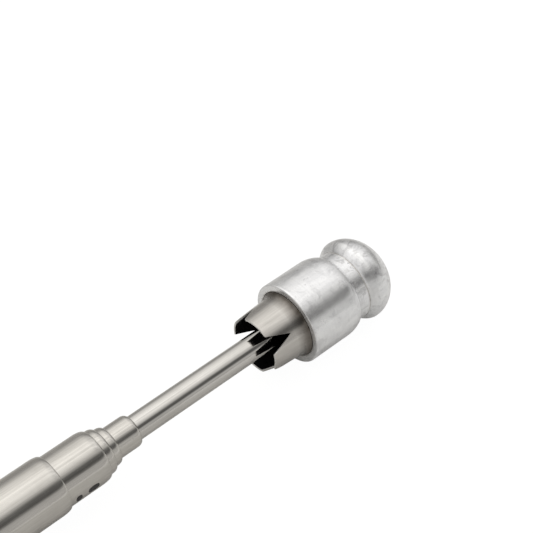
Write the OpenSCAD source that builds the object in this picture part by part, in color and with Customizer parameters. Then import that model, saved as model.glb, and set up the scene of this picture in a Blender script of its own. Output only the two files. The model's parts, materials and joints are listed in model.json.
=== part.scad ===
// Magnetic pickup tool: a pocket telescoping pointer with a magnet in its turned head.
// Millimetres. +X runs along the tool to the magnet, +Z is up, and the tool lies on z = 0.
// The origin is under the middle of the bounding box.

/* [Sections] */
// Outside diameter of the barrel, the largest section
barrel_d = 7; // [6.9:0.1:8]
// Outside diameter of section 2
section_2_d = 6.3; // [6.2:0.05:6.35]
// Outside diameter of section 3
section_3_d = 5.5; // [5.45:0.05:5.55]
// Outside diameter of section 4
section_4_d = 4.7; // [4.65:0.05:4.75]
// Outside diameter of section 5
section_5_d = 3.9; // [3.85:0.05:3.95]
// Outside diameter of the rod that carries the head
rod_d = 3; // [2.8:0.05:3.05]
// Wall of every section
wall = 0.2; // [0.16:0.01:0.22]
// Length of the barrel tube
barrel_len = 108.4; // [90:0.5:130]

/* [Pulled out as stored] */
// Section 2 in front of the barrel
show_2 = 5.6; // [1:0.1:20]
// Section 5 in front of section 4
show_5 = 3.1; // [1:0.1:20]
// Rod between section 5 and the cup
show_rod = 18; // [5:0.5:60]

/* [Head] */
// Outside diameter of the collar
collar_d = 10.44; // [10:0.02:11]
// Widest diameter of the dome
dome_d = 10.52; // [10.2:0.02:11]
// Diameter of the neck between collar and dome
neck_d = 8.88; // [8.4:0.02:9.2]
// Length from the collar's face to the magnet's face
head_len = 14.1; // [13.9:0.05:14.3]
// Diameter of the magnet
magnet_d = 5; // [4:0.1:5.4]
// Length of the magnet
magnet_len = 5; // [3:0.1:5.2]

/* [Spring cup] */
// Outside diameter of the cup at its mouth
cup_mouth_d = 7.32; // [7.2:0.02:7.6]
// How far the cup stands out of the collar
cup_out = 5.1; // [4.5:0.1:6]
// Wall of the cup
cup_wall = 0.25; // [0.15:0.01:0.3]
// Depth of each of its four V notches
notch_depth = 3; // [1:0.1:4]
// Turn of each notch about the tool's axis, from straight up; they are cut a little unevenly
notch_turns = [50, 133, 237, 313]; // [0:1:360]
// Width of each notch at the mouth
notch_widths = [2.34, 3, 2.34, 2.5]; // [1:0.02:3.2]

/* [Pocket clip] */
// Width of the clip
clip_w = 4.4; // [3:0.1:5]
// Sheet thickness of the clip
clip_t = 0.45; // [0.3:0.05:0.5]
// Length of the clip's free arm
clip_len = 36; // [25:1:45]
// Turn of the clip about the tool's axis, from straight up
clip_roll = 104; // [90:1:110]

/* [Hidden] */
$fn = 96;
running = 0.03;
cap_len = 2;
plug_len = 3.5;
nose = 1;
rear_lip = 0.3;
shell_len = 4;
shell_from = 0.6;
shell_groove = 0.08;
shell_seat = shell_len + 0.1;
barrel_r = barrel_d / 2;
r2 = section_2_d / 2;
r3 = section_3_d / 2;
r4 = section_4_d / 2;
r5 = section_5_d / 2;
rod_r = rod_d / 2;
rod_wall = 0.35;
collar_r = collar_d / 2;
dome_r = dome_d / 2;
neck_r = neck_d / 2;
mouth_r = cup_mouth_d / 2;
magnet_r = magnet_d / 2;
long_swage = 1.2;
short_swage = 0.6;

// Lengths of the sections: each stops on the one around it with its nose showing
len_2 = barrel_len - plug_len + nose - 0.1;
len_3 = len_2 + nose - rear_lip - 0.1;
len_4 = len_3 + nose - rear_lip - 0.1;
len_5 = len_4 + nose - rear_lip - 0.1;

// Stations along the tool, from the rear of the cap
total = cap_len + barrel_len + show_2 + 2 * nose + show_5 + show_rod + cup_out + head_len;
rear_x = -total / 2;
barrel_x = rear_x + cap_len;
lip_1 = barrel_x + barrel_len;
lip_2 = lip_1 + show_2;
lip_3 = lip_2 + nose;
lip_4 = lip_3 + nose;
lip_5 = lip_4 + show_5;
mouth_x = lip_5 + show_rod;
face_x = mouth_x + cup_out;
tip_x = face_x + head_len;
rod_front = face_x + 6.8;
closed_gap = -4.3;
rod_rear = lip_5 - len_5 + rear_lip + 0.1 + show_rod - closed_gap;

// Clip stations
band_x = rear_x + 7;
band_len = 6;
band_in = barrel_r + 0.02;
arm_in = barrel_r + 2.15;
arm_out = arm_in + clip_t;
bend_r = (arm_out - band_in) / 2;
flex_x = band_x + 3;

// The axis stands over the floor on the dome's widest ring
axis_z = dome_r;
clip_side = arm_out * sin(clip_roll) + clip_w / 2 * abs(cos(clip_roll));
axis_y = (clip_side - dome_r) / 2;

// Puts what is drawn along X, with the axis on X, at the tool's place
module on_axis() {
  translate([0, axis_y, axis_z])
    children();
}

// Turns a profile of (radius, station) points about the tool's axis
module turned(points) {
  on_axis()
    rotate([0, 90, 0])
      rotate_extrude()
        polygon(points);
}

// Points of the rounded, swaged front end, from the straight wall to the lip
function swage_pts(r, lip_r, x, long, n = 12) =
  [for (i = [0 : n]) [
    lip_r + (r - lip_r) * cos(90 * i / n),
    x - long + long * sin(90 * i / n)
  ]];

// One drawn tube: rounded front lip around the next section, rear lip, groove for its shells
module section_tube(x, len, r, next_r, long, grooved) {
  lip_r = next_r + 0.04;
  bore_r = r - wall;
  flat_lip = long * 0.8;
  rear = x - len;
  groove_r = grooved ? r - shell_groove : r;
  g0 = rear + shell_from;
  g1 = g0 + shell_seat;
  turned(concat(
    [[next_r - 0.2, rear], [r - 0.1, rear], [r, rear + 0.1]],
    [[r, g0], [groove_r, g0], [groove_r, g1], [r, g1]],
    swage_pts(r, lip_r + 0.03, x, long),
    [[lip_r, x], [lip_r, x - flat_lip], [bore_r, x - flat_lip - 0.45]],
    [[bore_r, rear + rear_lip], [next_r - 0.2, rear + rear_lip]]
  ));
}

// One of the two springy half shells that grip the bore of the section around it
module friction_shell(rear, r, bore_r, side) {
  x0 = rear + shell_from + 0.05;
  in_r = r - shell_groove + 0.01;
  out_r = bore_r - running;
  on_axis()
    rotate([0, 90, 0])
      rotate([0, 0, side + 4])
        translate([0, 0, x0])
          rotate_extrude(angle = 172)
            polygon([[in_r, 0], [out_r, 0.12], [out_r, shell_len - 0.12], [in_r, shell_len]]);
}

// Barrel with a rolled groove that holds the cap's plug
module barrel_tube() {
  lip_r = r2 + 0.04;
  bore_r = barrel_r - wall;
  roll_x = barrel_x + 1.9;
  roll = 0.14;
  color([0.66, 0.64, 0.61])
    turned(concat(
      [[bore_r, barrel_x], [barrel_r, barrel_x]],
      [[barrel_r, roll_x - 0.6], [barrel_r - roll, roll_x - 0.2]],
      [[barrel_r - roll, roll_x + 0.2], [barrel_r, roll_x + 0.6]],
      swage_pts(barrel_r, lip_r + 0.03, lip_1, long_swage),
      [[lip_r, lip_1], [lip_r, lip_1 - 0.96], [bore_r, lip_1 - 1.41]],
      [[bore_r, roll_x + 0.6], [bore_r - roll, roll_x + 0.2]],
      [[bore_r - roll, roll_x - 0.2], [bore_r, roll_x - 0.6]]
    ));
}

// Turned cap with a domed end and a grooved plug
module end_cap() {
  plug_r = barrel_r - wall - 0.01;
  roll_x = barrel_x + 1.9;
  edge = 1.1;
  color([0.78, 0.78, 0.78])
    turned(concat(
      [[0, rear_x]],
      [for (i = [0 : 10]) [
        barrel_r - edge + edge * sin(9 * i),
        rear_x + edge - edge * cos(9 * i)
      ]],
      [[barrel_r, barrel_x - 0.25], [barrel_r - 0.15, barrel_x - 0.02]],
      [[plug_r, barrel_x - 0.02], [plug_r, roll_x - 0.65], [plug_r - 0.15, roll_x - 0.25]],
      [[plug_r - 0.15, roll_x + 0.25], [plug_r, roll_x + 0.65]],
      [[plug_r, barrel_x + plug_len - 0.3], [plug_r - 0.3, barrel_x + plug_len]],
      [[0, barrel_x + plug_len]]
    ));
}

// Puts the clip's profile, drawn with radius along +Z, at its turn about the axis
module clip_frame() {
  on_axis()
    rotate([clip_roll, 0, 0])
      children();
}

// Stands a side profile of (station, radius) up to the clip's width
module clip_sheet(width) {
  rotate([90, 0, 0])
    translate([0, 0, -width / 2])
      linear_extrude(width)
        children();
}

// Band around the barrel with the bend that carries the arm
module clip_band() {
  mid_r = band_in + bend_r;
  color([0.62, 0.61, 0.6])
    union() {
      turned([
        [band_in, band_x + 0.2], [band_in + clip_t - 0.1, band_x + 0.2],
        [band_in + clip_t, band_x + 0.3], [band_in + clip_t, band_x + band_len - 0.1],
        [band_in + clip_t - 0.1, band_x + band_len], [band_in, band_x + band_len]
      ]);
      clip_frame()
        difference() {
          clip_sheet(clip_w) {
            translate([band_x, band_in])
              square([band_len - 0.4, clip_t]);
            translate([band_x, arm_in])
              square([flex_x - band_x - 0.05, clip_t]);
            difference() {
              translate([band_x, mid_r])
                circle(r = bend_r);
              translate([band_x, mid_r])
                circle(r = bend_r - clip_t);
              translate([band_x, 0])
                square([10, 10]);
            }
          }
          rotate([0, 90, 0])
            cylinder(r = band_in, h = 500, center = true);
        }
    }
}

// Free arm of the clip, with its pinch roll and turned-up tip
module clip_arm() {
  lean = 2.2;
  reach = clip_len - 5;
  roll_r = 0.75;
  x_end = flex_x + reach * cos(lean);
  r_end = arm_in - reach * sin(lean);
  bump_r = barrel_r + 0.2 + roll_r;
  tip_w = clip_w / 2 - 0.5;
  color([0.64, 0.63, 0.62])
    clip_frame()
      intersection() {
        clip_sheet(clip_w) {
          translate([flex_x + 0.05, arm_in])
            rotate(-lean)
              square([reach - 0.05, clip_t]);
          difference() {
            translate([x_end, bump_r])
              circle(r = roll_r);
            translate([x_end - 2, r_end + clip_t])
              square([4, 4]);
          }
          translate([x_end, r_end])
            rotate(12)
              square([5, clip_t]);
        }
        linear_extrude(20)
          polygon(concat(
            [[flex_x - 1, clip_w / 2], [flex_x - 1, -clip_w / 2]],
            [for (i = [-10 : 10]) [
              x_end + 3 + tip_w * cos(9 * i),
              tip_w * sin(9 * i)
            ]]
          ));
      }
}

module section_2_tube() {
  color([0.67, 0.65, 0.62])
    section_tube(lip_2, len_2, r2, r3, long_swage, true);
}

module section_3_tube() {
  color([0.66, 0.64, 0.61])
    section_tube(lip_3, len_3, r3, r4, short_swage, true);
}

module section_4_tube() {
  color([0.65, 0.63, 0.6])
    section_tube(lip_4, len_4, r4, r5, short_swage, true);
}

module section_5_tube() {
  color([0.66, 0.64, 0.61])
    section_tube(lip_5, len_5, r5, rod_r, short_swage, true);
}

// Thin tube from inside section 5 to its seat in the head
module rod_tube() {
  g0 = rod_rear + shell_from;
  g1 = g0 + shell_seat;
  bore_r = rod_r - rod_wall;
  color([0.68, 0.67, 0.65])
    turned([
      [bore_r, rod_rear], [rod_r - 0.1, rod_rear], [rod_r, rod_rear + 0.1],
      [rod_r, g0], [rod_r - shell_groove, g0], [rod_r - shell_groove, g1], [rod_r, g1],
      [rod_r, rod_front - 0.2], [rod_r - 0.2, rod_front], [bore_r, rod_front]
    ]);
}

module shell_pair_color() {
  color([0.76, 0.57, 0.33])
    children();
}

module friction_shell_2a() {
  shell_pair_color() friction_shell(lip_2 - len_2, r2, barrel_r - wall, 0);
}

module friction_shell_2b() {
  shell_pair_color() friction_shell(lip_2 - len_2, r2, barrel_r - wall, 180);
}

module friction_shell_3a() {
  shell_pair_color() friction_shell(lip_3 - len_3, r3, r2 - wall, 0);
}

module friction_shell_3b() {
  shell_pair_color() friction_shell(lip_3 - len_3, r3, r2 - wall, 180);
}

module friction_shell_4a() {
  shell_pair_color() friction_shell(lip_4 - len_4, r4, r3 - wall, 0);
}

module friction_shell_4b() {
  shell_pair_color() friction_shell(lip_4 - len_4, r4, r3 - wall, 180);
}

module friction_shell_5a() {
  shell_pair_color() friction_shell(lip_5 - len_5, r5, r4 - wall, 0);
}

module friction_shell_5b() {
  shell_pair_color() friction_shell(lip_5 - len_5, r5, r4 - wall, 180);
}

module friction_shell_6a() {
  shell_pair_color() friction_shell(rod_rear, rod_r, r5 - wall, 0);
}

module friction_shell_6b() {
  shell_pair_color() friction_shell(rod_rear, rod_r, r5 - wall, 180);
}

// The dome from its widest ring to the flat around the magnet
dome_x = 10.8;
dome_h = 3.95;
flat_h = head_len - 0.05 - dome_x;
dome_turn = asin(flat_h / dome_h);

// The collar's rounded rear shoulder, down to the ledge over the neck
function shoulder(x0, x1, ra, rb, n = 14) =
  [for (i = [0 : n]) [rb + (ra - rb) * pow(cos(90 * i / n), 0.8), face_x + x0 + (x1 - x0) * i / n]];

// The dome's near side, growing quickly from the neck and running out level
function flare(x0, x1, ra, rb, n = 14) =
  [for (i = [0 : n]) [ra + (rb - ra) * pow(sin(90 * i / n), 0.9), face_x + x0 + (x1 - x0) * i / n]];

// Turned knob: collar bored for the cup, neck, and dome bored for the magnet
module head_knob() {
  bore_r = 4.32;
  seat = 4;
  ledge_r = neck_r + 0.18;
  pocket = head_len - magnet_len - 1.65;
  color([0.86, 0.86, 0.87])
    turned(concat(
      [[rod_r + 0.02, face_x + seat], [bore_r, face_x + seat]],
      [[bore_r, face_x + 0.1], [bore_r + 0.1, face_x]],
      [[collar_r - 0.17, face_x], [collar_r - 0.05, face_x + 0.05], [collar_r, face_x + 0.17]],
      shoulder(5.9, 7.8, collar_r, ledge_r),
      [[neck_r, face_x + 7.86], [neck_r + 0.02, face_x + 9.32]],
      [[neck_r - 0.08, face_x + 9.38], [neck_r - 0.08, face_x + 9.44]],
      flare(9.5, dome_x, neck_r + 0.06, dome_r),
      [for (i = [1 : 16]) [
        dome_r * cos(dome_turn * i / 16),
        face_x + dome_x + dome_h * sin(dome_turn * i / 16)
      ]],
      [[magnet_r + 0.03, face_x + head_len - 0.05], [magnet_r + 0.03, face_x + pocket]],
      [[0, face_x + pocket], [0, face_x + 6.9], [rod_r + 0.02, face_x + 6.9]]
    ));
}

// The cup's outside: tapered petals, then a flare to a close fit in the collar's bore
base_r = mouth_r + 0.27;
back_r = 4.28;
flare_x = face_x - 0.7;
flare_len = 0.72;
function cup_r(x) =
  mouth_r + 0.27 * min(1, (x - mouth_x) / cup_out)
  + (back_r - base_r) * pow(max(0, (x - flare_x) / flare_len), 2);

// Spring-steel cup with four pointed notches; its floor is clamped in the collar
module spring_cup() {
  out_x = face_x + 3.85;
  color([0.6, 0.59, 0.57])
    difference() {
      turned(concat(
        [[mouth_r - cup_wall, mouth_x], [mouth_r, mouth_x]],
        [for (i = [0 : 7]) [cup_r(flare_x + flare_len * i / 7), flare_x + flare_len * i / 7]],
        [[back_r, out_x - 0.25], [back_r - 0.25, out_x], [rod_r + 0.03, out_x]],
        [[rod_r + 0.03, out_x - cup_wall], [back_r - 0.4, out_x - cup_wall]],
        [[back_r - cup_wall, out_x - 0.4]],
        [for (i = [7 : -1 : 0]) [cup_r(flare_x + flare_len * i / 7) - cup_wall, flare_x + flare_len * i / 7]]
      ));
      on_axis()
        for (k = [0 : 3])
          rotate([notch_turns[k], 0, 0])
            translate([0, 0, 2])
              linear_extrude(4)
                polygon([
                  [mouth_x - notch_depth, notch_widths[k]],
                  [mouth_x + notch_depth, 0],
                  [mouth_x - notch_depth, -notch_widths[k]]
                ]);
    }
}

// Ring staked to the rod, holding the cup's floor against the collar
module staked_ring() {
  x1 = face_x + 3.55;
  color([0.5, 0.49, 0.47])
    turned([
      [rod_r + 0.01, x1 - 0.9], [rod_r + 0.7, x1 - 0.9],
      [rod_r + 0.95, x1 - 0.65], [rod_r + 0.95, x1], [rod_r + 0.01, x1]
    ]);
}

// Plated magnet, a hair proud of the dome's flat
module pickup_magnet() {
  x0 = tip_x - magnet_len;
  color([0.75, 0.75, 0.74])
    turned([
      [0, x0], [magnet_r - 0.15, x0], [magnet_r, x0 + 0.15],
      [magnet_r, tip_x - 0.12], [magnet_r - 0.12, tip_x], [0, tip_x]
    ]);
}

// Soft-iron disc behind the magnet
module magnet_backing() {
  x0 = tip_x - magnet_len - 1.6;
  color([0.42, 0.41, 0.4])
    turned([[0, x0], [magnet_r, x0], [magnet_r, x0 + 1.55], [0, x0 + 1.55]]);
}

barrel_tube();
end_cap();
clip_band();
clip_arm();
section_2_tube();
section_3_tube();
section_4_tube();
section_5_tube();
rod_tube();
friction_shell_2a();
friction_shell_2b();
friction_shell_3a();
friction_shell_3b();
friction_shell_4a();
friction_shell_4b();
friction_shell_5a();
friction_shell_5b();
friction_shell_6a();
friction_shell_6b();
head_knob();
spring_cup();
staked_ring();
pickup_magnet();
magnet_backing();
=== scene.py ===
"""Looks of the magnetic pickup tool: drawn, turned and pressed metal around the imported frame."""

import json
import math

import bmesh
import bpy
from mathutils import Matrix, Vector, noise


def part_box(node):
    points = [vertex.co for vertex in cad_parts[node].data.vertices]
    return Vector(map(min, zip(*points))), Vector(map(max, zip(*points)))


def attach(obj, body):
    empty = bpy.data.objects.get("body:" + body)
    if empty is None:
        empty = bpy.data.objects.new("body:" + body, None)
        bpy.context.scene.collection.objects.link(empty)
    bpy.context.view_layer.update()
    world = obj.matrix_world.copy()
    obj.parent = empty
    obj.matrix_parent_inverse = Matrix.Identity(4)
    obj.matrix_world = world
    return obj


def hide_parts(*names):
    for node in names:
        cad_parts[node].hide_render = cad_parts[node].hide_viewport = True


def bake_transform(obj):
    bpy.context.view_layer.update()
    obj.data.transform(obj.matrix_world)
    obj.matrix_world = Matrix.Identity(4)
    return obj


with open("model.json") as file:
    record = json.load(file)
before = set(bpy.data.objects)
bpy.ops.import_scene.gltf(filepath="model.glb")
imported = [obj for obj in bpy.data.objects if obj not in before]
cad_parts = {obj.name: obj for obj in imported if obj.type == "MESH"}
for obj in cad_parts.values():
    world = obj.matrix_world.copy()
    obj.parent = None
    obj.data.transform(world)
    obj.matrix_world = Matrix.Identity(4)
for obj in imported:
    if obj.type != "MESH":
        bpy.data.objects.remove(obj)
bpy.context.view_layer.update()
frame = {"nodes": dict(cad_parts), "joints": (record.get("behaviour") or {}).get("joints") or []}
MM = 0.001
scene = bpy.context.scene

# ---------------------------------------------------------------- places, from the frame

head_lo, head_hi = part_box("head_knob")
FACE = head_lo.x
AY = (head_lo.y + head_hi.y) / 2
AZ = (head_lo.z + head_hi.z) / 2
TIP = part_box("pickup_magnet")[1].x


def front(node):
    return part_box(node)[1].x


def rear(node):
    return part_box(node)[0].x


def radius(node):
    lo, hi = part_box(node)
    return (hi.z - lo.z) / 2


# ---------------------------------------------------------------- node helpers


def new_material(name):
    m = bpy.data.materials.new(name)
    m.use_nodes = True
    nt = m.node_tree
    bsdf = nt.nodes["Principled BSDF"]
    coord = nt.nodes.new("ShaderNodeTexCoord")
    return m, nt, bsdf, coord.outputs["Object"]


def mapped(nt, coord, scale):
    n = nt.nodes.new("ShaderNodeMapping")
    n.inputs["Scale"].default_value = scale
    nt.links.new(coord, n.inputs["Vector"])
    return n.outputs["Vector"]


def noisy(nt, coord, scale, detail=3.0, rough=0.5, distort=0.0):
    """Noise over object space; scale is in cycles per metre along x, y and z."""
    n = nt.nodes.new("ShaderNodeTexNoise")
    n.inputs["Scale"].default_value = 1.0
    n.inputs["Detail"].default_value = detail
    n.inputs["Roughness"].default_value = rough
    n.inputs["Distortion"].default_value = distort
    nt.links.new(mapped(nt, coord, scale), n.inputs["Vector"])
    return n.outputs["Fac"]


def ranged(nt, fac, a, b, lo=0.3, hi=0.7):
    n = nt.nodes.new("ShaderNodeMapRange")
    n.inputs["From Min"].default_value = lo
    n.inputs["From Max"].default_value = hi
    n.inputs["To Min"].default_value = a
    n.inputs["To Max"].default_value = b
    nt.links.new(fac, n.inputs["Value"])
    return n.outputs["Result"]


def math_node(nt, op, a, b):
    n = nt.nodes.new("ShaderNodeMath")
    n.operation = op
    for i, v in enumerate((a, b)):
        if isinstance(v, (int, float)):
            n.inputs[i].default_value = v
        else:
            nt.links.new(v, n.inputs[i])
    return n.outputs[0]


def ramp(nt, fac, stops):
    n = nt.nodes.new("ShaderNodeValToRGB")
    els = n.color_ramp.elements
    while len(els) < len(stops):
        els.new(0.5)
    for e, (p, c) in zip(els, stops):
        e.position = p
        e.color = (*c, 1.0)
    nt.links.new(fac, n.inputs["Fac"])
    return n.outputs["Color"]


def blend_colors(nt, fac, a, b, mode="MIX"):
    n = nt.nodes.new("ShaderNodeMix")
    n.data_type = "RGBA"
    n.blend_type = mode
    nt.links.new(fac, n.inputs["Factor"])
    for v, s in ((a, n.inputs["A"]), (b, n.inputs["B"])):
        if isinstance(v, tuple):
            s.default_value = (*v, 1.0)
        else:
            nt.links.new(v, s)
    return n.outputs["Result"]


def bumped(nt, bsdf, layers):
    """layers: (height, strength, distance in metres), each on top of the one before."""
    last = None
    for height, strength, distance in layers:
        n = nt.nodes.new("ShaderNodeBump")
        n.inputs["Strength"].default_value = strength
        n.inputs["Distance"].default_value = distance
        nt.links.new(height, n.inputs["Height"])
        if last is not None:
            nt.links.new(last, n.inputs["Normal"])
        last = n.outputs["Normal"]
    nt.links.new(last, bsdf.inputs["Normal"])


# ---------------------------------------------------------------- materials


def drawn_steel(name, dark, light, rough, line=1.0, painted_shade=None):
    """Drawn and polished stainless: long lines along the tube, faint turned rings, soft stains.

    painted_shade = (x0, x1) darkens the metal to a warm brown from x0 to x1: painted shade.
    """
    m, nt, bsdf, co = new_material(name)
    lines = noisy(nt, co, (45, 4200, 4200), 4, 0.65)
    rings = noisy(nt, co, (9000, 120, 120), 3, 0.55)
    stain = noisy(nt, co, (220, 620, 620), 5, 0.62, 0.5)
    mixed = math_node(nt, "ADD", math_node(nt, "MULTIPLY", lines, 0.6),
                      math_node(nt, "MULTIPLY", stain, 0.4))
    tone = ramp(nt, mixed, [(0.36, dark), (0.62, light)])
    # Painted shade: a warm brown darkening from x0 to x1, broken up by the stains.
    if painted_shade:
        sep = nt.nodes.new("ShaderNodeSeparateXYZ")
        nt.links.new(co, sep.inputs[0])
        near = ranged(nt, sep.outputs["X"], 0.0, 1.0, *painted_shade)
        uneven = ranged(nt, stain, 0.75, 1.0)
        tone = blend_colors(nt, math_node(nt, "MULTIPLY", near, uneven), tone, (0.085, 0.07, 0.056))
    nt.links.new(tone, bsdf.inputs["Base Color"])
    nt.links.new(ranged(nt, stain, rough * 0.75, rough * 1.35), bsdf.inputs["Roughness"])
    bsdf.inputs["Metallic"].default_value = 1.0
    bumped(nt, bsdf, [(lines, 0.13 * line, 7e-6), (rings, 0.05, 4e-6)])
    return m


def turned_aluminium(name, dark, light, rough, metal=0.8, worn=None):
    """Satin turned aluminium: tool rings round the axis, tumbled blotches, a few fine nicks.

    worn = (x0, x1) adds scuffs that come in from x0 and are full at x1.
    """
    m, nt, bsdf, co = new_material(name)
    rings = noisy(nt, co, (7000, 60, 60), 4, 0.6)
    blotch = noisy(nt, co, (380, 650, 650), 4, 0.58, 0.7)
    grain = noisy(nt, co, (3600, 3600, 3600), 2, 0.5)
    handled = noisy(nt, co, (90, 2600, 2600), 3, 0.6)
    mixed = math_node(nt, "ADD", math_node(nt, "MULTIPLY", blotch, 0.5),
                      math_node(nt, "MULTIPLY", math_node(nt, "ADD", rings, handled), 0.25))
    tone = ramp(nt, mixed, [(0.40, dark), (0.58, light)])
    pits = ranged(nt, noisy(nt, co, (1300, 1700, 1700), 2, 0.5, 0.3), 0.0, 0.45, 0.70, 0.76)
    smudge = ranged(nt, noisy(nt, co, (650, 520, 520), 4, 0.6, 0.9), 0.0, 0.32, 0.54, 0.66)
    tone = blend_colors(nt, smudge, tone, (0.48, 0.478, 0.49))
    layers = [(blotch, 0.2, 2.2e-5), (rings, 0.05, 4e-6), (grain, 0.03, 3e-6)]
    if worn:
        sep = nt.nodes.new("ShaderNodeSeparateXYZ")
        nt.links.new(co, sep.inputs[0])
        where = ranged(nt, sep.outputs["X"], 0.0, 1.0, *worn)
        rubs = noisy(nt, co, (620, 900, 900), 5, 0.62, 1.1)
        scuff = math_node(nt, "MULTIPLY", where, ranged(nt, rubs, 0.0, 0.45, 0.54, 0.61))
        tone = blend_colors(nt, scuff, tone, (0.44, 0.437, 0.445))
        layers.append((math_node(nt, "MULTIPLY", scuff, -1.0), 0.35, 1.6e-5))
    nt.links.new(blend_colors(nt, pits, tone, (0.25, 0.25, 0.26)), bsdf.inputs["Base Color"])
    nt.links.new(ranged(nt, blotch, rough * 0.8, rough * 1.25), bsdf.inputs["Roughness"])
    bsdf.inputs["Metallic"].default_value = metal
    bumped(nt, bsdf, layers)
    return m


def blackened(name):
    """Heat-black oxide inside the spring cup."""
    m, nt, bsdf, co = new_material(name)
    patch = noisy(nt, co, (900, 900, 900), 4, 0.6)
    nt.links.new(ramp(nt, patch, [(0.35, (0.0035, 0.0035, 0.004)), (0.7, (0.007, 0.007, 0.0075))]),
                 bsdf.inputs["Base Color"])
    nt.links.new(ranged(nt, patch, 0.5, 0.7), bsdf.inputs["Roughness"])
    bsdf.inputs["Specular IOR Level"].default_value = 0.08
    bumped(nt, bsdf, [(patch, 0.2, 8e-6)])
    return m


def plated(name, dark, light, rough):
    """Bright nickel plate or polished iron, with fine scuffs."""
    m, nt, bsdf, co = new_material(name)
    scuff = noisy(nt, co, (1500, 1500, 1500), 5, 0.65, 0.8)
    nt.links.new(ramp(nt, scuff, [(0.35, dark), (0.65, light)]), bsdf.inputs["Base Color"])
    nt.links.new(ranged(nt, scuff, rough * 0.7, rough * 1.5), bsdf.inputs["Roughness"])
    bsdf.inputs["Metallic"].default_value = 1.0
    bumped(nt, bsdf, [(scuff, 0.08, 6e-6)])
    return m


def ink(name):
    """Worn dark print."""
    m, nt, bsdf, co = new_material(name)
    worn = noisy(nt, co, (5200, 5200, 5200), 3, 0.6)
    nt.links.new(ramp(nt, worn, [(0.3, (0.012, 0.011, 0.012)), (0.75, (0.05, 0.047, 0.046))]),
                 bsdf.inputs["Base Color"])
    nt.links.new(ranged(nt, worn, 0.35, 0.6), bsdf.inputs["Roughness"])
    bumped(nt, bsdf, [(worn, 0.2, 4e-6)])
    return m


STEEL = drawn_steel("stainless_tube", (0.56, 0.54, 0.51), (0.70, 0.68, 0.645), 0.13)
ROD = drawn_steel("polished_rod", (0.58, 0.565, 0.54), (0.72, 0.705, 0.68), 0.11, 1.6)
# The cup darkens over its last 1.5 mm into the collar: painted shade of the gap round it.
CUP = drawn_steel("cup_outside", (0.50, 0.48, 0.455), (0.62, 0.60, 0.57), 0.18,
                  painted_shade=(FACE - 1.6 * MM, FACE - 0.1 * MM))
# Lighter steel on the petals' cut edges: painted highlight for the bright line along the rim.
RIM = drawn_steel("cup_rim_highlight", (0.66, 0.65, 0.63), (0.78, 0.77, 0.75), 0.25)
CLIP = drawn_steel("clip_steel", (0.54, 0.53, 0.51), (0.66, 0.65, 0.63), 0.18)
ALU = turned_aluminium("turned_aluminium", (0.84, 0.845, 0.862), (0.98, 0.985, 0.995), 0.22,
                       worn=(FACE + 5.0 * MM, FACE + 8.6 * MM))
ALU_CAP = turned_aluminium("turned_cap", (0.74, 0.74, 0.75), (0.88, 0.88, 0.885), 0.3)
# Darker aluminium for the bore and hollows inside the head: painted shade.
BORE_SHADE = turned_aluminium("bore_painted_shade", (0.42, 0.39, 0.36), (0.60, 0.57, 0.53), 0.35, 1.0)
# Darker aluminium for narrow strips in the neck's creases and round the bore's mouth.
CREASE = turned_aluminium("darker_crease", (0.60, 0.59, 0.575), (0.96, 0.95, 0.94), 0.4)
BLACK = blackened("heat_black")
NICKEL = plated("nickel_plate", (0.62, 0.61, 0.59), (0.74, 0.73, 0.71), 0.13)
IRON = plated("soft_iron", (0.22, 0.215, 0.21), (0.32, 0.31, 0.30), 0.42)
BRONZE = plated("bronze_shell", (0.60, 0.40, 0.20), (0.75, 0.54, 0.30), 0.24)
INK = ink("printed_mark")

# ---------------------------------------------------------------- mesh helpers


def finish_mesh(obj, sharp=38.0):
    me = obj.data
    me.shade_smooth()
    me.set_sharp_from_angle(angle=math.radians(sharp))
    me.validate()
    me.update()


def make_object(name, bm, mats):
    bmesh.ops.recalc_face_normals(bm, faces=bm.faces)
    me = bpy.data.meshes.new(name)
    bm.to_mesh(me)
    bm.free()
    for m in mats:
        me.materials.append(m)
    obj = bpy.data.objects.new(name, me)
    scene.collection.objects.link(obj)
    return obj


def on_axis(x, r, a):
    return Vector((x, AY + r * math.cos(a), AZ + r * math.sin(a)))


def fine(points, step):
    """Adds points so that no stretch of the profile is longer than step."""
    out = []
    for p, q in zip(points, points[1:] + points[:1]):
        n = max(1, math.ceil(math.hypot(q[0] - p[0], q[1] - p[1]) / step))
        tag = p[2] if len(p) > 2 else 0
        for i in range(n):
            t = i / n
            out.append((p[0] + (q[0] - p[0]) * t, p[1] + (q[1] - p[1]) * t, tag))
    return out


def lathe(name, points, mats, seg=144, step=None, waver=None, sharp=38.0):
    """Turns a closed profile of (radius, x, material index) about the tool's axis.

    Points with radius 0 become poles. waver(x, a, r) gives a small inward move of a point.
    """
    pts = fine(points, step) if step else [(p[0], p[1], p[2] if len(p) > 2 else 0) for p in points]
    bm = bmesh.new()
    rings = []
    for r, x, _ in pts:
        if r < 1e-7:
            rings.append([bm.verts.new(on_axis(x, 0, 0))])
            continue
        ring = []
        for k in range(seg):
            a = 2 * math.pi * k / seg
            rr = r - (waver(x, a, r) if waver else 0.0)
            ring.append(bm.verts.new(on_axis(x, rr, a)))
        rings.append(ring)
    n = len(rings)
    for i in range(n):
        a, b = rings[i], rings[(i + 1) % n]
        if len(a) == 1 and len(b) == 1:
            continue
        tag = pts[i][2]
        for k in range(seg):
            k2 = (k + 1) % seg
            if len(a) == 1:
                vs = [a[0], b[k], b[k2]]
            elif len(b) == 1:
                vs = [a[k], b[0], a[k2]]
            else:
                vs = [a[k], b[k], b[k2], a[k2]]
            bm.faces.new(vs).material_index = tag
    obj = make_object(name, bm, mats)
    finish_mesh(obj, sharp)
    return obj


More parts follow.
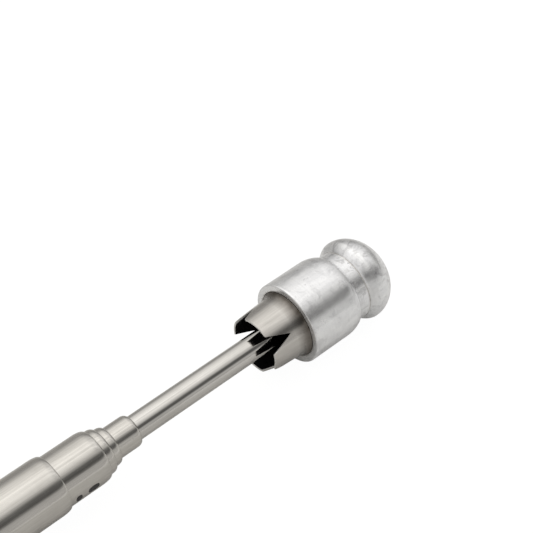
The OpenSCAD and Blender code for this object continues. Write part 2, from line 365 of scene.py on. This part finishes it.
def arc(r0, x0, r1, x1, n=14):
    """Quarter ellipse from (r0, x0), running along the tool, to (r1, x1), running inwards."""
    return [(r1 + (r0 - r1) * math.cos(math.pi / 2 * i / n),
             x0 + (x1 - x0) * math.sin(math.pi / 2 * i / n)) for i in range(n + 1)]


def shoulder(x0, x1, ra, rb, n=18):
    """A rounded edge that leaves ra level and falls away to rb."""
    return [(rb + (ra - rb) * abs(math.cos(math.pi / 2 * i / n)) ** 0.66,
             x0 + (x1 - x0) * i / n) for i in range(n + 1)]


def flare(x0, x1, ra, rb, n=16):
    """A rounded shoulder that grows quickly from ra and runs out level at rb."""
    return [(ra + (rb - ra) * math.sin(math.pi / 2 * i / n) ** 0.9,
             x0 + (x1 - x0) * i / n) for i in range(n + 1)]


def ripple(amount, along, around):
    """A slow unevenness of polished metal, always inwards."""
    def f(x, a, r):
        p = Vector((x * along, math.cos(a) * around, math.sin(a) * around))
        return amount * (0.5 + 0.5 * noise.noise(p))
    return f


# ---------------------------------------------------------------- telescoping sections

WALL = 0.2 * MM
LIP_GAP = 0.075 * MM
EASE = 0.1 * MM  # small rounding on a cut end
# Groove that seats the friction shells, from a section's rear end
SEAT_FROM, SEAT_TO, SEAT_DEPTH = 0.6 * MM, 4.7 * MM, 0.08 * MM


def seat(r, x0):
    """The groove for the shells in a section's outside, as profile points from its rear."""
    g0, g1 = x0 + SEAT_FROM, x0 + SEAT_TO
    return [(r, g0), (r - SEAT_DEPTH, g0), (r - SEAT_DEPTH, g1), (r, g1)]


def lip_inside(lip, x1, depth):
    """The mouth's inner edge at radius lip, rounded, then straight back over depth."""
    return [(lip + 0.015 * MM, x1), (lip, x1 - 0.02 * MM), (lip, x1 - depth)]


def tube(name, node, next_node, long, mat):
    """A section with its rounded lip, its rear lip and the groove that seats its shells."""
    r, x1, x0 = radius(node), front(node), rear(node)
    nr = radius(next_node)
    lip = nr + LIP_GAP
    flat = long * 0.8
    hole = nr - 0.2 * MM
    floor_x = x0 + 0.3 * MM
    pts = [(hole, x0), (r - EASE, x0), (r, x0 + EASE)]
    pts += seat(r, x0)
    pts += arc(r, x1 - long, lip + 0.04 * MM, x1)
    pts += lip_inside(lip, x1, flat)
    pts += [(r - WALL, x1 - flat - 0.45 * MM), (r - WALL, floor_x), (hole, floor_x)]
    obj = lathe(name, pts, [mat], step=2.0 * MM, waver=ripple(0.006 * MM, 120, 1.1))
    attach(obj, node.replace("_tube", ""))
    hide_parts(node)
    return obj


tube("section_2_drawn", "section_2_tube", "section_3_tube", 1.2 * MM, STEEL)
tube("section_3_drawn", "section_3_tube", "section_4_tube", 0.6 * MM, STEEL)
tube("section_4_drawn", "section_4_tube", "section_5_tube", 0.6 * MM, STEEL)
tube("section_5_drawn", "section_5_tube", "rod_tube", 0.6 * MM, STEEL)

# Barrel: the same lip, and the rolled groove over the cap's plug
b_r, b_x1, b_x0 = radius("barrel_tube"), front("barrel_tube"), rear("barrel_tube")
b_lip = radius("section_2_tube") + LIP_GAP
roll = b_x0 + 1.9 * MM


def rolled(r, x, sign):
    """A soft groove rolled 0.14 mm into the wall."""
    pts = []
    for i in range(13):
        u = i / 12
        depth = 0.14 * MM * (0.5 - 0.5 * math.cos(2 * math.pi * u))
        pts.append((r - depth, x + sign * (u - 0.5) * 1.2 * MM))
    return pts


pts = [(b_r - WALL, b_x0), (b_r - 0.05 * MM, b_x0), (b_r, b_x0 + 0.05 * MM)]
pts += rolled(b_r, roll, 1)
pts += arc(b_r, b_x1 - 1.2 * MM, b_lip + 0.04 * MM, b_x1)
pts += lip_inside(b_lip, b_x1, 0.96 * MM)
pts += [(b_r - WALL, b_x1 - 1.41 * MM)]
pts += rolled(b_r - WALL, roll, -1)
barrel = lathe("barrel_drawn", pts, [STEEL], step=2.0 * MM, waver=ripple(0.006 * MM, 90, 1.1))
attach(barrel, "handle")
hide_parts("barrel_tube")

# Rod, open at both ends
r_r, r_x0, r_x1 = radius("rod_tube"), rear("rod_tube"), front("rod_tube")
r_in = r_r - 0.35 * MM
pts = [(r_in, r_x0), (r_r - EASE, r_x0), (r_r, r_x0 + EASE)]
pts += seat(r_r, r_x0)
pts += [(r_r, r_x1 - 0.2 * MM), (r_r - 0.2 * MM, r_x1), (r_in, r_x1)]
rod = lathe("rod_drawn", pts, [ROD], seg=112, step=1.5 * MM, waver=ripple(0.005 * MM, 150, 0.9))
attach(rod, "head")
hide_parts("rod_tube")

# ---------------------------------------------------------------- turned head

c_r = 5.22 * MM
d_r = radius("head_knob")
n_r = 4.44 * MM
ledge = n_r + 0.18 * MM
bore = 4.32 * MM
m_r = radius("pickup_magnet")
d_x = FACE + 10.8 * MM
d_h = 3.95 * MM
flat_x = TIP - 0.05 * MM
turn = math.asin((flat_x - d_x) / d_h)
seat_x = FACE + 4.0 * MM
web_x = FACE + 6.9 * MM
pocket_x = FACE + 7.45 * MM

SKIN, SHADED_BORE, DARK_STRIP = range(3)  # material indices on the head; the bore's darker aluminium is painted shade
EDGE = 0.17 * MM  # rounding of the collar's front edge

outside = [(c_r - EDGE, FACE, SKIN), (c_r - 0.1 * MM, FACE + 0.012 * MM, SKIN)]
outside += [(c_r - 0.05 * MM, FACE + 0.045 * MM, SKIN), (c_r - 0.015 * MM, FACE + 0.1 * MM, SKIN)]
outside += [(c_r, FACE + EDGE, SKIN)]
outside += [(r, x, SKIN) for r, x in shoulder(FACE + 5.9 * MM, FACE + 7.8 * MM, c_r, ledge)]
outside[-1] = (*outside[-1][:2], DARK_STRIP)
outside += [(n_r, FACE + 7.86 * MM, SKIN), (n_r + 0.02 * MM, FACE + 9.32 * MM, DARK_STRIP)]
outside += [(n_r - 0.03 * MM, FACE + x * MM, DARK_STRIP) for x in (9.38, 9.44)]
outside += [(r, x, SKIN) for r, x in flare(FACE + 9.5 * MM, d_x, n_r + 0.06 * MM, d_r)]
outside += [(d_r * math.cos(turn * i / 26), d_x + d_h * math.sin(turn * i / 26), SKIN)
            for i in range(1, 27)]
outside += [(m_r + 0.10 * MM, flat_x, SKIN), (m_r + 0.03 * MM, flat_x - 0.06 * MM, SKIN)]
inside = [(m_r + 0.03 * MM, pocket_x, SHADED_BORE), (0.0, pocket_x, SHADED_BORE), (0.0, web_x, SHADED_BORE)]
inside += [(r_r + 0.02 * MM, web_x, SHADED_BORE), (r_r + 0.02 * MM, seat_x, SHADED_BORE)]
inside += [(bore, seat_x, SHADED_BORE), (bore, FACE + 0.14 * MM, DARK_STRIP)]
inside += [(bore + 0.04 * MM, FACE + 0.05 * MM, DARK_STRIP), (bore + 0.17 * MM, FACE, SKIN)]


def tumbled(x, a, r):
    """Shallow tumbling marks on the head, deepest 0.02 mm."""
    if r < n_r - 0.12 * MM:
        return 0.0
    p = Vector((x * 520, math.cos(a) * 2.7, math.sin(a) * 2.7))
    q = Vector((x * 1500, math.cos(a) * 7.5, math.sin(a) * 7.5))
    return 0.012 * MM * (0.5 + 0.5 * noise.noise(p)) + 0.005 * MM * (0.5 + 0.5 * noise.noise(q))


knob = lathe("head_turned", outside + inside, [ALU, BORE_SHADE, CREASE], seg=192, step=0.16 * MM,
             waver=tumbled, sharp=35)
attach(knob, "head")
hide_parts("head_knob")

# Magnet with its rounded plated edge
mx0 = rear("pickup_magnet")
pts = [(0.0, mx0), (m_r - 0.15 * MM, mx0), (m_r, mx0 + 0.15 * MM), (m_r, TIP - 0.12 * MM)]
pts += [(m_r - 0.035 * MM, TIP - 0.035 * MM), (m_r - 0.12 * MM, TIP), (0.0, TIP)]
magnet = lathe("magnet_plated", pts, [NICKEL], seg=128, step=0.5 * MM)
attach(magnet, "head")
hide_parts("pickup_magnet")

# ---------------------------------------------------------------- spring cup with four notches

MOUTH = rear("spring_cup")
cup_back = front("spring_cup")
mouth_r = 3.66 * MM
base_r = mouth_r + 0.27 * MM
back_r = 4.28 * MM
cup_t = 0.25 * MM
NOTCH = 3.0 * MM
# The four notches are cut unevenly: turn about the axis from +Z, and half width at the mouth
NOTCHES = [(math.radians(angle + 90), half * MM) for angle, half in
           ((50, 1.17), (133, 1.5), (237, 1.17), (313, 1.25))]
OUTER, INNER, EDGES = range(3)  # material indices on the cup
FLARE_LEN = 0.72 * MM


def cup_r(x):
    """Outside radius of the cup at a station."""
    taper = mouth_r + (base_r - mouth_r) * min(1.0, (x - MOUTH) / (FACE - MOUTH))
    u = min(1.0, max(0.0, (x - FACE + 0.7 * MM) / FLARE_LEN))
    return taper + (back_r - base_r) * u * u


def edge_x(a, inset):
    """Where the petals' edge lies at an angle, on the surface inset from the outside."""
    x = MOUTH
    for at, half in NOTCHES:
        off = (a - at + math.pi) % (2 * math.pi) - math.pi
        if abs(off) > 0.6:
            continue
        for _ in range(6):
            y = abs((cup_r(x) - inset) * math.sin(off))
            x = MOUTH + max(0.0, NOTCH * (1 - y / half))
    return x


def between(x0, x1, n):
    """The n - 1 stations strictly between x0 and x1."""
    return [x0 + (x1 - x0) * i / n for i in range(1, n)]


def spring_cup():
    bm = bmesh.new()
    seg, rows = 720, 8
    bev = 0.035 * MM
    rod_hole = r_r + 0.03 * MM
    flares = [FACE - 0.7 * MM + FLARE_LEN * i / 10 for i in range(11)]
    cols = []
    for k in range(seg):
        a = 2 * math.pi * k / seg
        xo, xi = edge_x(a, 0.0), edge_x(a, cup_t)
        col = [(rod_hole, cup_back - cup_t, INNER), (back_r - 0.4 * MM, cup_back - cup_t, INNER)]
        col += [(back_r - cup_t, x, INNER) for x in (cup_back - 0.4 * MM, cup_back - 1.5 * MM)]
        col += [(cup_r(x) - cup_t, x, INNER) for x in reversed(flares)]
        col += [(cup_r(x) - cup_t, x, INNER) for x in between(flares[0], xi + bev, rows)]
        col += [(cup_r(xi + bev) - cup_t, xi + bev, EDGES), (cup_r(xi) - cup_t + bev, xi, EDGES)]
        col += [(cup_r(xo) - bev, xo, EDGES), (cup_r(xo + bev), xo + bev, OUTER)]
        col += [(cup_r(x), x, OUTER) for x in between(xo + bev, flares[0], rows)]
        col += [(cup_r(x), x, OUTER) for x in flares]
        col += [(back_r, cup_back - 0.25 * MM, OUTER), (back_r - 0.25 * MM, cup_back, OUTER)]
        col += [(rod_hole, cup_back, OUTER)]
        cols.append([(bm.verts.new(on_axis(x, r, a)), t) for r, x, t in col])
    n = len(cols[0])
    for k in range(seg):
        c, d = cols[k], cols[(k + 1) % seg]
        for i in range(n):
            j = (i + 1) % n
            f = bm.faces.new([c[i][0], c[j][0], d[j][0], d[i][0]])
            f.material_index = c[i][1]
    obj = make_object("cup_pressed", bm, [CUP, BLACK, RIM])
    finish_mesh(obj, 40)
    return obj


cup = spring_cup()
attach(cup, "head")
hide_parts("spring_cup")

# ---------------------------------------------------------------- rear cap

k_x0 = rear("end_cap")
k_x1 = front("end_cap")
plug = b_r - WALL - 0.012 * MM
DOME = 1.1 * MM  # rounding of the cap's edge
pts = [(0.0, k_x0)]
pts += [(b_r - DOME + DOME * math.sin(math.pi / 2 * i / 14),
         k_x0 + DOME - DOME * math.cos(math.pi / 2 * i / 14)) for i in range(15)]
pts += [(b_r, b_x0 - 0.2 * MM), (b_r - 0.05 * MM, b_x0 - 0.1 * MM)]
pts += [(b_r - 0.15 * MM, b_x0 - 0.03 * MM), (plug, b_x0 - 0.03 * MM)]
pts += [(plug, roll - 0.65 * MM), (plug - 0.15 * MM, roll - 0.25 * MM)]
pts += [(plug - 0.15 * MM, roll + 0.25 * MM), (plug, roll + 0.65 * MM), (plug, k_x1 - 0.3 * MM)]
pts += [(plug - 0.3 * MM, k_x1), (0.0, k_x1)]
cap = lathe("cap_turned", pts, [ALU_CAP], step=0.3 * MM, waver=ripple(0.006 * MM, 500, 2.2))
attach(cap, "handle")
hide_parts("end_cap")

# ---------------------------------------------------------------- pocket clip

hinge = next(j for j in frame["joints"] if j["name"] == "clip_flex")
hx, hy, hz = hinge["pos_m"]
out_dir = Vector((0, hy - AY, hz - AZ)).normalized()
side_dir = Vector((1, 0, 0)).cross(out_dir)
CLIP_T = 0.45 * MM
CLIP_W = 4.4 * MM
arm_in = b_r + 2.15 * MM
band_in = b_r + 0.02 * MM
bend = (arm_in + CLIP_T - band_in) / 2
band_x = hx - 3.0 * MM
x_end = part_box("clip_arm")[1].x - 4.7 * MM
TAPER = 0.5 * MM  # what the arm narrows by on each side
lean = math.radians(2.2)


def clip_line():
    """Centre line of the strip as (x, radius, half width), from the bend to the tip."""
    mid = band_in + bend
    cr = bend - CLIP_T / 2
    line = []
    for i in range(25):
        t = math.pi * i / 24
        line.append((band_x - cr * math.sin(t), mid - cr * math.cos(t), CLIP_W / 2))
    for i in range(1, 7):
        line.append((band_x + (hx - band_x) * i / 6, arm_in + CLIP_T / 2, CLIP_W / 2))
    n = 30
    for i in range(1, n + 1):
        x = hx + (x_end - hx) * i / n
        r = arm_in + CLIP_T / 2 - (x - hx) * math.tan(lean)
        line.append((x, r, CLIP_W / 2 - TAPER * (x - hx) / (x_end + 3 * MM - hx)))
    r_end = line[-1][1]
    for i in range(1, 17):
        d = 4.62 * MM * i / 16
        up = d * math.sin(math.radians(12)) * min(1.0, 0.55 + d / (3 * MM))
        w = CLIP_W / 2 - TAPER
        past = d - 2.95 * MM
        if past > 0:
            w = math.sqrt(max(w * w - past * past, (0.12 * MM) ** 2))
        line.append((x_end + d, r_end + up, w))
    return line


def sweep_strip(name, line, mat, t=CLIP_T, bev=0.09 * MM):
    """A sheet strip with rounded edges, swept along its centre line."""
    bm = bmesh.new()
    rings = []
    for i, (x, r, w) in enumerate(line):
        a = line[max(0, i - 1)]
        b = line[min(len(line) - 1, i + 1)]
        d = Vector((b[0] - a[0], b[1] - a[1])).normalized()
        nrm = Vector((-d.y, d.x))
        h = t / 2
        c = min(bev, w * 0.4)
        k = c * 0.3
        prof = [(-w, -h + c), (-w + k, -h + k), (-w + c, -h), (0, -h), (w - c, -h),
                (w - k, -h + k), (w, -h + c), (w, h - c), (w - k, h - k), (w - c, h),
                (0, h), (-w + c, h), (-w + k, h - k), (-w, h - c)]
        ring = []
        for u, v in prof:
            px = x + nrm.x * v
            pr = r + nrm.y * v
            ring.append(bm.verts.new(Vector((px, AY, AZ)) + out_dir * pr + side_dir * u))
        rings.append(ring)
    m = len(rings[0])
    for a, b in zip(rings, rings[1:]):
        for k in range(m):
            bm.faces.new([a[k], a[(k + 1) % m], b[(k + 1) % m], b[k]])
    bm.faces.new(rings[0])
    bm.faces.new(list(reversed(rings[-1])))
    obj = make_object(name, bm, [mat])
    finish_mesh(obj, 42)
    return obj


strip = sweep_strip("clip_strip", clip_line(), CLIP)
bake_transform(strip)
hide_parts("clip_arm")


def clip_roll_piece():
    """The half round pinch roll pressed into the arm."""
    bm = bmesh.new()
    rr = 0.72 * MM
    roll_r = b_r + 0.22 * MM + rr
    top = arm_in - (x_end - hx) * math.tan(lean) + 0.1 * MM
    w = CLIP_W / 2 - 0.62 * MM
    rings = []
    for j in range(13):
        v = -w + 2 * w * j / 12
        s = math.sqrt(max(0.0, 1 - (abs(v) / w) ** 6)) * 0.9 + 0.1
        ring = []
        for i in range(21):
            t = math.pi * i / 20
            px = x_end - rr * math.cos(t)
            pr = top - (top - roll_r + rr) * math.sin(t) * s
            ring.append(bm.verts.new(Vector((px, AY, AZ)) + out_dir * pr + side_dir * v))
        rings.append(ring)
    for a, b in zip(rings, rings[1:]):
        for k in range(20):
            bm.faces.new([a[k], a[k + 1], b[k + 1], b[k]])
        bm.faces.new([a[20], a[0], b[0], b[20]])
    bm.faces.new(rings[0])
    bm.faces.new(list(reversed(rings[-1])))
    obj = make_object("clip_pinch", bm, [CLIP])
    finish_mesh(obj, 60)
    return obj


pinch = clip_roll_piece()
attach(pinch, "clip")

# Band round the barrel, with the strip's flat root on it
bx0, bx1 = band_x + 0.2 * MM, band_x + 6.0 * MM
o_r = band_in + CLIP_T
pts = [(band_in, bx0), (o_r - EASE, bx0), (o_r - EASE * 0.3, bx0 + EASE * 0.3)]
pts += [(o_r, bx0 + EASE), (o_r, bx1 - EASE), (o_r - EASE * 0.3, bx1 - EASE * 0.3)]
pts += [(o_r - EASE, bx1), (band_in, bx1)]
band = lathe("clip_ring", pts, [CLIP], step=0.6 * MM)
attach(band, "handle")
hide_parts("clip_band")

root_line = [(band_x + (5.6 * MM) * i / 8, band_in + CLIP_T / 2, CLIP_W / 2) for i in range(9)]
root = sweep_strip("clip_root", root_line, CLIP)
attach(root, "handle")

# ---------------------------------------------------------------- plain printed marks on section 2


def dash(name, x0, x1, a0, a1):
    """A worn dash of print lying on section 2, with rounded ends."""
    r = radius("section_2_tube") + 0.004 * MM
    bm = bmesh.new()
    n, m = 16, 8
    grid = []
    for i in range(n + 1):
        u = i / n
        end = math.sqrt(max(0.0, 1 - abs(2 * u - 1) ** 3))
        row = []
        for j in range(m + 1):
            v = (j / m - 0.5) * (0.25 + 0.75 * end)
            row.append(bm.verts.new(on_axis(x0 + (x1 - x0) * u, r, a0 + (a1 - a0) * (0.5 + v))))
        grid.append(row)
    for a, b in zip(grid, grid[1:]):
        for j in range(m):
            bm.faces.new([a[j], a[j + 1], b[j + 1], b[j]])
    obj = make_object(name, bm, [INK])
    for p in obj.data.polygons:
        p.use_smooth = True
    solid = obj.modifiers.new("thickness", "SOLIDIFY")
    solid.thickness = 0.006 * MM
    solid.offset = 0
    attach(obj, "section_2")
    return obj


s2 = front("section_2_tube")
dash("print_dash_a", s2 - 4.95 * MM, s2 - 4.15 * MM, math.radians(180), math.radians(198))
dash("print_dash_b", s2 - 3.35 * MM, s2 - 1.9 * MM, math.radians(179), math.radians(197))

# ---------------------------------------------------------------- CAD pieces that stay

KEPT = {"staked_ring": CUP, "magnet_backing": IRON}
KEPT.update({n: BRONZE for n in frame["nodes"] if n.startswith("friction_shell")})
for name, mat in KEPT.items():
    obj = frame["nodes"][name]
    obj.data.materials.clear()
    obj.data.materials.append(mat)

# ---------------------------------------------------------------- floor, light, camera


def make_floor():
    me = bpy.data.meshes.new("floor")
    half = 12.0
    corners = [(-half, -half, 0), (half, -half, 0), (half, half, 0), (-half, half, 0)]
    me.from_pydata(corners, [], [(0, 1, 2, 3)])
    obj = bpy.data.objects.new("floor", me)
    obj.location.z = -0.0001
    scene.collection.objects.link(obj)
    m = bpy.data.materials.new("pale_floor")
    m.use_nodes = True
    nt = m.node_tree
    nt.nodes.clear()
    out = nt.nodes.new("ShaderNodeOutputMaterial")
    path = nt.nodes.new("ShaderNodeLightPath")
    grey = nt.nodes.new("ShaderNodeBsdfDiffuse")
    sep = nt.nodes.new("ShaderNodeSeparateXYZ")
    nt.links.new(nt.nodes.new("ShaderNodeTexCoord").outputs["Object"], sep.inputs[0])
    # Painted shade on the floor as reflections see it: grey, darker below x 0.05 m, darkest past y
    # 0.035 m.
    along = ranged(nt, sep.outputs["X"], 0.0, 1.0, 0.05, 0.09)
    behind = ranged(nt, sep.outputs["Y"], 0.0, 1.0, 0.010, 0.035)
    tone = blend_colors(nt, along, (0.72, 0.715, 0.70), (0.92, 0.92, 0.915))
    nt.links.new(blend_colors(nt, behind, tone, (0.50, 0.495, 0.485)), grey.inputs["Color"])
    pale = nt.nodes.new("ShaderNodeBsdfDiffuse")
    pale.inputs["Color"].default_value = (0.10, 0.10, 0.10, 1)
    glow = nt.nodes.new("ShaderNodeEmission")
    glow.inputs["Strength"].default_value = 0.96
    add = nt.nodes.new("ShaderNodeAddShader")
    mix = nt.nodes.new("ShaderNodeMixShader")
    nt.links.new(pale.outputs[0], add.inputs[0])
    nt.links.new(glow.outputs[0], add.inputs[1])
    # The camera sees an even white glow; reflections see the grey with its painted shade.
    nt.links.new(path.outputs["Is Camera Ray"], mix.inputs[0])
    nt.links.new(grey.outputs[0], mix.inputs[1])
    nt.links.new(add.outputs[0], mix.inputs[2])
    nt.links.new(mix.outputs[0], out.inputs["Surface"])
    me.materials.append(m)


def make_world():
    """A light tent: brightness by the angle round the tool, 0 = back horizon, 90 = overhead.

    Its stops follow brightness readings of the photo's reflections. They are
    not a plain studio light.
    """
    w = bpy.data.worlds.new("tent")
    scene.world = w
    w.use_nodes = True
    nt = w.node_tree
    bg = nt.nodes["Background"]
    co = nt.nodes.new("ShaderNodeTexCoord")
    sep = nt.nodes.new("ShaderNodeSeparateXYZ")
    nt.links.new(co.outputs["Generated"], sep.inputs[0])
    ang = math_node(nt, "ARCTAN2", sep.outputs["Z"], sep.outputs["Y"])
    half_turn = ranged(nt, ang, 0.0, 1.0, 0.0, math.pi)
    tent = [(0, 0.38), (5, 0.38), (13, 0.46), (23, 0.66), (33, 0.90), (43, 1.01),
            (53, 1.10), (60, 1.08), (65, 0.92), (71, 1.00), (76, 1.10), (82, 0.84),
            (88, 0.90), (95, 1.14), (103, 0.98), (113, 0.76), (121, 0.53), (130, 0.17),
            (140, 0.12), (148, 0.12), (153, 0.30), (159, 0.52), (168, 0.54), (180, 0.54)]
    warm = (0.5, 0.5 * 0.985, 0.5 * 0.955)
    ring = ramp(nt, half_turn, [(a / 180.0, tuple(v * c for c in warm)) for a, v in tent])
    side = math_node(nt, "ABSOLUTE", sep.outputs["X"], 0.0)
    off = math_node(nt, "MULTIPLY", ranged(nt, side, 0.0, 1.0, 0.34, 0.50),
                    ranged(nt, half_turn, 1.0, 0.0, 0.62, 0.70))
    ring = blend_colors(nt, off, ring, blend_colors(nt, off, ring, (0.80, 0.80, 0.81), "MULTIPLY"))
    end = ranged(nt, side, 0.0, 1.0, 0.80, 0.97)
    color = blend_colors(nt, end, ring, (0.33, 0.326, 0.318))
    far_end = ranged(nt, sep.outputs["X"], 0.0, 1.0, 0.88, 0.985)
    color = blend_colors(nt, far_end, color, (0.12, 0.118, 0.112))
    nt.links.new(color, bg.inputs["Color"])
    bg.inputs["Strength"].default_value = 2.0


def make_light():
    data = bpy.data.lights.new("softbox", "AREA")
    data.shape = "RECTANGLE"
    data.size = 1.6
    data.size_y = 0.5
    data.energy = 0.6
    data.color = (1.0, 0.985, 0.96)
    obj = bpy.data.objects.new("softbox", data)
    obj.location = (0.1, 0.25, 0.8)
    obj.rotation_euler = (Vector((0.05, 0, 0)) - obj.location).to_track_quat("-Z", "Y").to_euler()
    scene.collection.objects.link(obj)


def make_camera():
    data = bpy.data.cameras.new("camera")
    data.lens = 94.56
    data.sensor_width = 36.0
    data.shift_x, data.shift_y = -0.00075, 0.0011
    data.clip_start = 0.005
    data.clip_end = 20.0
    obj = bpy.data.objects.new("camera", data)
    scene.collection.objects.link(obj)
    az, el = math.radians(-42.357), math.radians(45.463)
    back = Vector((math.sin(az) * math.cos(el), -math.cos(az) * math.cos(el), math.sin(el)))
    obj.location = Vector((FACE, AY, AZ)) + Vector((-76.284, -80.196, 122.023)) * MM
    obj.rotation_euler = (-back).to_track_quat("-Z", "Y").to_euler()
    scene.camera = obj


make_floor()
make_world()
make_light()
make_camera()
scene.view_settings.view_transform = "Standard"
scene.view_settings.look = "None"
